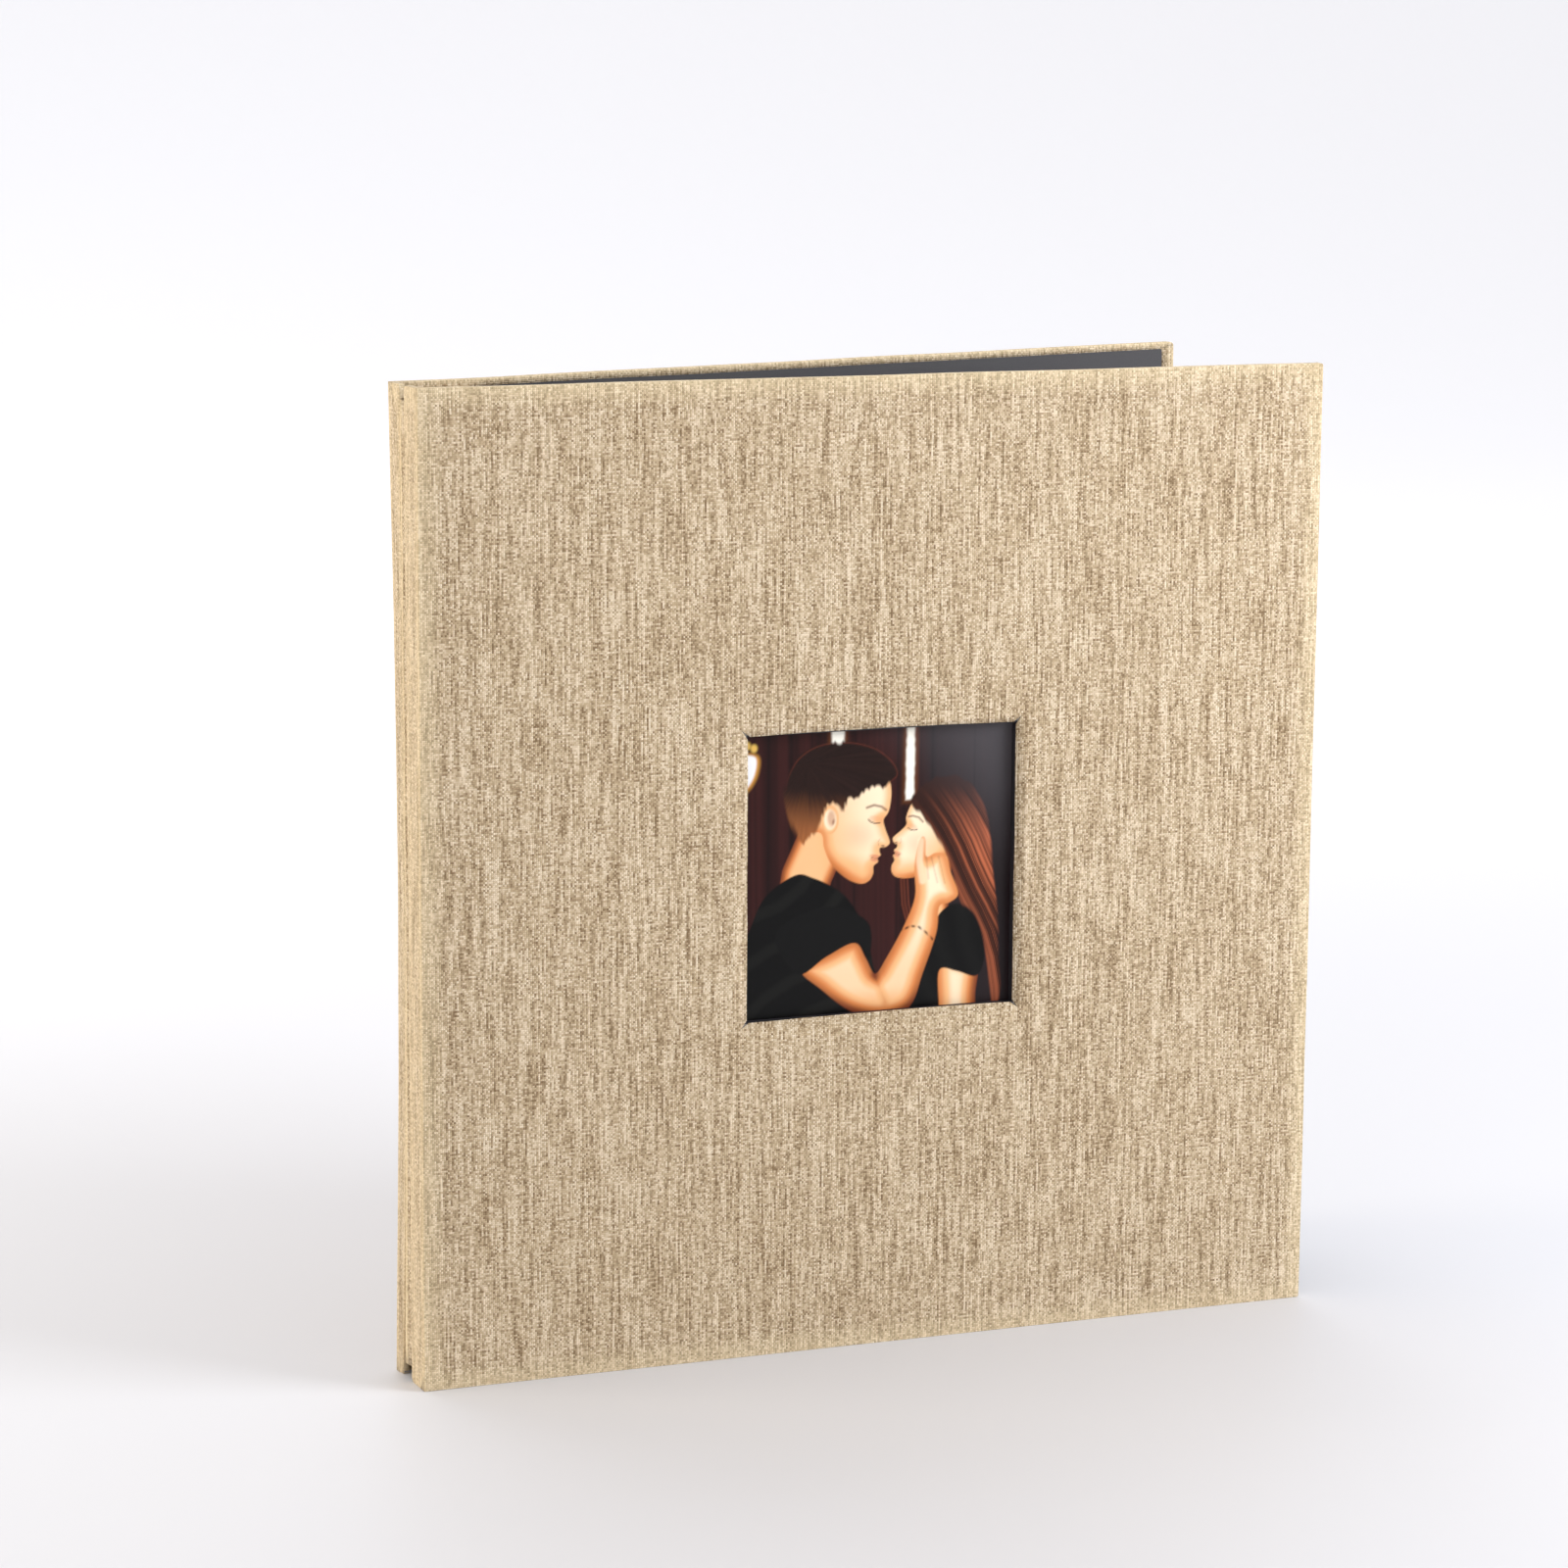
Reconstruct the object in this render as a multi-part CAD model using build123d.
"""Post-bound scrapbook album with a cover window, standing slightly open.

Each side of the album is drawn in its own plan: x runs from the spine to the
fore edge, n runs inward from that side's outer face, z runs up from the foot.
The front side's n is +Y. The back side is its mirror image at the far side of
the closed album, so both sides are made by the same functions. The sides, the
binding and the leaves are then turned about their hinge lines to the angles
at which the album stands.
"""

from build123d import *
import os

# ---- driving dimensions, in millimetres and degrees ----

COVER_HEIGHT = 280.0
COVER_WIDTH = 273.0
BOARD_T = 2.2
CLOTH_T = 0.4
LINING_T = 0.4
TURN_IN_TOP = 2.0
TURN_IN_FORE = 4.8
JOINT_GAP = 0.8

WINDOW = 82.0
WINDOW_DROP = 1.0
LINER_T = 0.4

PRINT_SIZE = 92.0
PRINT_T = 0.3
POCKET_FRAME_T = 0.5
POCKET_FRAME_W = 6.0
POCKET_BACKING_T = 0.3
POCKET_CLEARANCE = 0.5
POCKET_MOUTH_DROP = 3.0
THUMB_NOTCH_R = 9.0

LEAF_COUNT = 10
LEAF_T = 0.45
SPACER_T = 0.4
LEAF_HINGE_X = 30.0
LEAF_TURN_CLEARANCE = 0.2
SCORE_CLEARANCE = 0.175
PAGE_INSET_Z = 3.0
PAGE_INSET_FORE = 6.0

FLAP_BOARD_T = 2.0
FLAP_SETBACK = 1.5
SPINE_BOARD_T = 1.6
FRONT_SPINE_W = 10.5
BACK_SPINE_W = 8.3
SPINE_STRIP_GAP = 0.3
SPINE_STRIP_INSET_Z = 1.2
SPINE_STRIP_CARD_T = 1.2
STUB_CLEARANCE = 0.4
SPINE_TO_COVER = 0.4

POST_R = 2.5
POST_HOLE_CLEARANCE = 0.25
POST_HEAD_R = 4.75
POST_HEAD_T = 1.0
POST_HEAD_GAP = 0.6
POST_X = 16.0
POST_SPACING = 108.0
POST_BORE_SPARE = 1.0
POST_SHORT = 0.3
SCREW_R = 1.6
SCREW_CLEARANCE = 0.1
SCREW_LENGTH = 8.0
SCREW_SLOT_W = 1.0
SCREW_SLOT_DEPTH = 0.5

# Angles at which the album stands, seen from above.
FRONT_OPEN_DEG = 3.35
BACK_OPEN_DEG = 10.0
# Full travel of the covers from shut, and of the first and last leaf with
# the front cover laid fully open.
FRONT_TRAVEL_DEG = 180.0
BACK_TRAVEL_DEG = 180.0
FIRST_LEAF_SHARE = 0.55
LAST_LEAF_SHARE = 0.05
# How far past the pocket's mouth the print is lifted.
PRINT_LIFT_CLEAR = 1.0

# ---- derived sizes ----

COVER_T = CLOTH_T + BOARD_T + LINING_T
WINDOW_CENTRE_X = COVER_WIDTH / 2
WINDOW_CENTRE_Z = COVER_HEIGHT / 2 - WINDOW_DROP
PRINT_TRAVEL = PRINT_SIZE - POCKET_MOUTH_DROP + PRINT_LIFT_CLEAR
LEAF_HINGE_STEP = LEAF_T + LEAF_TURN_CLEARANCE
LEAF_HALF_GAP = LEAF_T / 2 + SCORE_CLEARANCE
LEAF_PITCH = LEAF_T + SPACER_T
STACK_T = LEAF_COUNT * LEAF_T + (LEAF_COUNT - 1) * SPACER_T
FLAP_T = CLOTH_T + FLAP_BOARD_T
FLAP_N = COVER_T + POST_HEAD_GAP + POST_HEAD_T
STACK_N = FLAP_N + FLAP_T
ALBUM_T = 2 * STACK_N + STACK_T
SPINE_BOARD_N = COVER_T + SPINE_TO_COVER
FLAP_X = CLOTH_T + SPINE_BOARD_T
FLAP_END_X = LEAF_HINGE_X - FLAP_SETBACK
STUB_X = FLAP_X + STUB_CLEARANCE
LEAF_END_X = COVER_WIDTH - PAGE_INSET_FORE
PAGE_FOOT_Z = PAGE_INSET_Z
PAGE_HEAD_Z = COVER_HEIGHT - PAGE_INSET_Z
POST_HOLE_R = POST_R + POST_HOLE_CLEARANCE
POST_BORE_DEPTH = SCREW_LENGTH + POST_BORE_SPARE
POST_HEIGHTS = [COVER_HEIGHT / 2 + row * POST_SPACING for row in (-1, 0, 1)]


def box(x0, x1, n0, n1, z0, z1):
    """A box given by its lowest and highest corners."""
    size = Box(x1 - x0, n1 - n0, z1 - z0, align=(Align.MIN, Align.MIN, Align.MIN))
    return Pos(x0, n0, z0) * size


def rod(radius, n0, n1, x, z):
    """A round bar along n."""
    bar = Cylinder(radius, n1 - n0, align=(Align.CENTER, Align.CENTER, Align.MIN))
    return Pos(x, n0, z) * Rot(-90, 0, 0) * bar


def post_holes(n0, n1):
    """Cutters for the posts' clearance holes, one for each post."""
    return [rod(POST_HOLE_R, n0, n1, POST_X, z) for z in POST_HEIGHTS]


def cut(shape, tools):
    """The shape less each of the tools."""
    for tool in tools:
        shape = shape - tool
    return shape


def window_cut(size, n0, n1):
    """A square block that cuts or fills the window."""
    half = size / 2
    return box(WINDOW_CENTRE_X - half, WINDOW_CENTRE_X + half, n0, n1,
               WINDOW_CENTRE_Z - half, WINDOW_CENTRE_Z + half)


# ---- one cover, in its own plan ----

def cover_board():
    return box(JOINT_GAP, COVER_WIDTH - CLOTH_T, CLOTH_T, CLOTH_T + BOARD_T,
               CLOTH_T, COVER_HEIGHT - CLOTH_T)


def cover_lining():
    """Black paper inside the border that the cloth turns in."""
    return box(JOINT_GAP, COVER_WIDTH - TURN_IN_FORE, CLOTH_T + BOARD_T, COVER_T,
               TURN_IN_TOP, COVER_HEIGHT - TURN_IN_TOP)


def cover_cloth():
    """Cloth over the outer face, the three free edges and a narrow border inside."""
    whole = box(JOINT_GAP, COVER_WIDTH, 0, COVER_T, 0, COVER_HEIGHT)
    return cut(whole, [cover_board(), cover_lining()])


def window_liner():
    """Black strips on the four cut walls of the window, as one frame."""
    outer = window_cut(WINDOW + 2 * LINER_T, CLOTH_T, COVER_T)
    return outer - window_cut(WINDOW, CLOTH_T, COVER_T)


def windowed(shape):
    """A layer behind the cloth, cut for the window and its liner."""
    return shape - window_cut(WINDOW + 2 * LINER_T, 0, COVER_T)


# ---- the print and its pocket, on the inner face of the front cover ----

def print_box(grow, n0, n1, head_drop):
    """The print's outline grown sideways, with its head lowered."""
    half = PRINT_SIZE / 2
    return box(WINDOW_CENTRE_X - half - grow, WINDOW_CENTRE_X + half + grow, n0, n1,
               WINDOW_CENTRE_Z - half, WINDOW_CENTRE_Z + half - head_drop)


def photo_print():
    slack = (POCKET_FRAME_T - PRINT_T) / 2
    return print_box(0, COVER_T + slack, COVER_T + slack + PRINT_T, 0)


def pocket_outline(n0, n1):
    half = PRINT_SIZE / 2
    reach = half + POCKET_CLEARANCE + POCKET_FRAME_W
    return box(WINDOW_CENTRE_X - reach, WINDOW_CENTRE_X + reach, n0, n1,
               WINDOW_CENTRE_Z - half - POCKET_FRAME_W,
               WINDOW_CENTRE_Z + half - POCKET_MOUTH_DROP)


def pocket_frame():
    """Three card strips that space the backing off the cover, open at the head."""
    far = COVER_T + POCKET_FRAME_T
    return pocket_outline(COVER_T, far) - print_box(POCKET_CLEARANCE, COVER_T, far, 0)


def pocket_backing():
    """Card sheet behind the print, with a thumb notch at its mouth."""
    near = COVER_T + POCKET_FRAME_T
    far = near + POCKET_BACKING_T
    mouth_z = WINDOW_CENTRE_Z + PRINT_SIZE / 2 - POCKET_MOUTH_DROP
    notch = rod(THUMB_NOTCH_R, near, far, WINDOW_CENTRE_X, mouth_z)
    return pocket_outline(near, far) - notch


# ---- one side of the binding, in its own plan ----

def spine_board(width):
    return box(CLOTH_T, FLAP_X, SPINE_BOARD_N, width - CLOTH_T,
               CLOTH_T, COVER_HEIGHT - CLOTH_T)


def spine_cloth(width):
    """Cloth over the spine board, running on to the hinge line at the corner."""
    joint = box(0, CLOTH_T, JOINT_GAP / 2, SPINE_BOARD_N, 0, COVER_HEIGHT)
    wrap = box(0, FLAP_X, SPINE_BOARD_N, width, 0, COVER_HEIGHT)
    return joint + (wrap - spine_board(width))


def flap_board():
    board = box(FLAP_X, FLAP_END_X - CLOTH_T, FLAP_N + CLOTH_T, STACK_N,
                PAGE_FOOT_Z, PAGE_HEAD_Z)
    return cut(board, post_holes(FLAP_N, STACK_N))


def flap_cloth():
    """Cloth over the flap's outer face and round its free edge."""
    face = box(FLAP_X, FLAP_END_X, FLAP_N, FLAP_N + CLOTH_T, PAGE_FOOT_Z, PAGE_HEAD_Z)
    edge = box(FLAP_END_X - CLOTH_T, FLAP_END_X, FLAP_N + CLOTH_T, STACK_N,
               PAGE_FOOT_Z, PAGE_HEAD_Z)
    return cut(face + edge, post_holes(FLAP_N, STACK_N))


# ---- the middle of the binding, in the front side's plan ----

def spine_strip(x0, x1):
    """Strip in the gap between the two spine boards, a little shorter than a page."""
    return box(x0, x1, FRONT_SPINE_W + SPINE_STRIP_GAP,
               ALBUM_T - BACK_SPINE_W - SPINE_STRIP_GAP,
               PAGE_FOOT_Z + SPINE_STRIP_INSET_Z, PAGE_HEAD_Z - SPINE_STRIP_INSET_Z)


def leaf_n(index):
    """Front face of the leaf with this index, counted from 0."""
    return STACK_N + index * LEAF_PITCH


def leaf_hinge_x(index):
    """Score line of a leaf: each one bends a little further out than the one in front."""
    return LEAF_HINGE_X + index * LEAF_HINGE_STEP


def stack_layer(index, n0, thickness):
    """One bound strip in the clamped stack, with its post holes."""
    end_x = leaf_hinge_x(index) - LEAF_HALF_GAP
    strip = box(STUB_X, end_x, n0, n0 + thickness, PAGE_FOOT_Z, PAGE_HEAD_Z)
    return cut(strip, post_holes(n0, n0 + thickness))


def leaf_stubs():
    return [stack_layer(index, leaf_n(index), LEAF_T) for index in range(LEAF_COUNT)]


def spacer_strips():
    return [stack_layer(index, leaf_n(index) + LEAF_T, SPACER_T)
            for index in range(LEAF_COUNT - 1)]


def leaf(index):
    return box(leaf_hinge_x(index) + LEAF_HALF_GAP, LEAF_END_X,
               leaf_n(index), leaf_n(index) + LEAF_T, PAGE_FOOT_Z, PAGE_HEAD_Z)


def post_barrel(z):
    """Headed tube, in from the front flap."""
    end = ALBUM_T - FLAP_N - POST_SHORT
    barrel = rod(POST_R, FLAP_N, end, POST_X, z)
    head = rod(POST_HEAD_R, FLAP_N - POST_HEAD_T, FLAP_N, POST_X, z)
    bore = rod(SCREW_R + SCREW_CLEARANCE, end - POST_BORE_DEPTH, end, POST_X, z)
    return head + barrel - bore


def post_screw(z):
    """Slotted screw, in from the back flap."""
    seat = ALBUM_T - FLAP_N
    top = seat + POST_HEAD_T
    shank = rod(SCREW_R, seat - SCREW_LENGTH, seat, POST_X, z)
    head = rod(POST_HEAD_R, seat, top, POST_X, z)
    slot = box(POST_X - POST_HEAD_R, POST_X + POST_HEAD_R, top - SCREW_SLOT_DEPTH, top,
               z - SCREW_SLOT_W / 2, z + SCREW_SLOT_W / 2)
    return shank + head - slot


# ---- placing: plan to the standing album ----

BINDING = Rot(0, 0, FRONT_OPEN_DEG)
BACK_HINGE = Pos(0, ALBUM_T, 0)
BACK_COVER = BINDING * BACK_HINGE * Rot(0, 0, BACK_OPEN_DEG) * BACK_HINGE.inverse()


def to_back(shape):
    """The mirror image of a front-side shape, on the back of the closed album."""
    return mirror(shape, about=Plane.XZ.offset(-ALBUM_T / 2))


def leaf_share(index):
    """Share of the front cover's turn that this leaf follows."""
    step = (FIRST_LEAF_SHARE - LAST_LEAF_SHARE) / (LEAF_COUNT - 1)
    return FIRST_LEAF_SHARE - index * step


def leaf_hinge(index):
    """Plan position of a leaf's score line."""
    return Pos(leaf_hinge_x(index), leaf_n(index) + LEAF_T / 2, 0)


def leaf_place(index):
    """A leaf turned towards the front cover by its share of the opening."""
    hinge = leaf_hinge(index)
    turn = Rot(0, 0, -FRONT_OPEN_DEG * leaf_share(index))
    return BINDING * hinge * turn * hinge.inverse()


def build():
    """Every node's solids, standing, with the front hinge line on the Z axis."""
    nodes = {}
    cloth = cover_cloth()
    nodes["front_cover_board"] = windowed(cover_board())
    nodes["front_cover_cloth"] = cloth - window_cut(WINDOW, 0, COVER_T)
    nodes["front_endpaper"] = windowed(cover_lining())
    nodes["window_liner"] = window_liner()
    nodes["pocket_frame"] = pocket_frame()
    nodes["pocket_backing"] = pocket_backing()
    nodes["photo_print"] = photo_print()

    nodes["back_cover_board"] = BACK_COVER * to_back(cover_board())
    nodes["back_cover_cloth"] = BACK_COVER * to_back(cloth)
    nodes["back_endpaper"] = BACK_COVER * to_back(cover_lining())

    nodes["front_spine_board"] = BINDING * spine_board(FRONT_SPINE_W)
    nodes["front_spine_cloth"] = BINDING * spine_cloth(FRONT_SPINE_W)
    nodes["front_flap_board"] = BINDING * flap_board()
    nodes["front_flap_cloth"] = BINDING * flap_cloth()
    nodes["back_spine_board"] = BINDING * to_back(spine_board(BACK_SPINE_W))
    nodes["back_spine_cloth"] = BINDING * to_back(spine_cloth(BACK_SPINE_W))
    nodes["back_flap_board"] = BINDING * to_back(flap_board())
    nodes["back_flap_cloth"] = BINDING * to_back(flap_cloth())

    card_x = STUB_X - SPINE_STRIP_CARD_T
    nodes["spine_strip_card"] = BINDING * spine_strip(card_x, STUB_X)
    nodes["spine_strip_cloth"] = BINDING * spine_strip(card_x - CLOTH_T, card_x)
    nodes["leaf_stubs"] = [BINDING * stub for stub in leaf_stubs()]
    nodes["spacer_strips"] = [BINDING * strip for strip in spacer_strips()]
    nodes["post_barrels"] = [BINDING * post_barrel(z) for z in POST_HEIGHTS]
    nodes["post_screws"] = [BINDING * post_screw(z) for z in POST_HEIGHTS]

    for index in range(LEAF_COUNT):
        nodes[f"leaf_{index + 1:02d}"] = leaf_place(index) * leaf(index)
    return nodes


def as_compound(shape):
    solids = []
    for item in shape if isinstance(shape, list) else [shape]:
        solids += item.solids()
    return Compound(children=solids)


NODES = {name: as_compound(shape) for name, shape in build().items()}
WHOLE = Compound(children=[Compound(node.wrapped) for node in NODES.values()]).bounding_box()

# The part's origin is the middle of the whole album's foot.
ORIGIN = Pos(-WHOLE.center().X, -WHOLE.center().Y, -WHOLE.min.Z)

os.makedirs("parts", exist_ok=True)
for name, node in NODES.items():
    export_step(ORIGIN * node, f"parts/{name}.step")
print(f"{len(NODES)} nodes, size {WHOLE.size}, shut thickness {ALBUM_T:.2f} mm")
print(f"front cover: {FRONT_OPEN_DEG} deg open, of {FRONT_TRAVEL_DEG}")
print(f"back cover: {BACK_OPEN_DEG} deg open, of {BACK_TRAVEL_DEG}")
print(f"print lifts {PRINT_TRAVEL:.1f} mm")
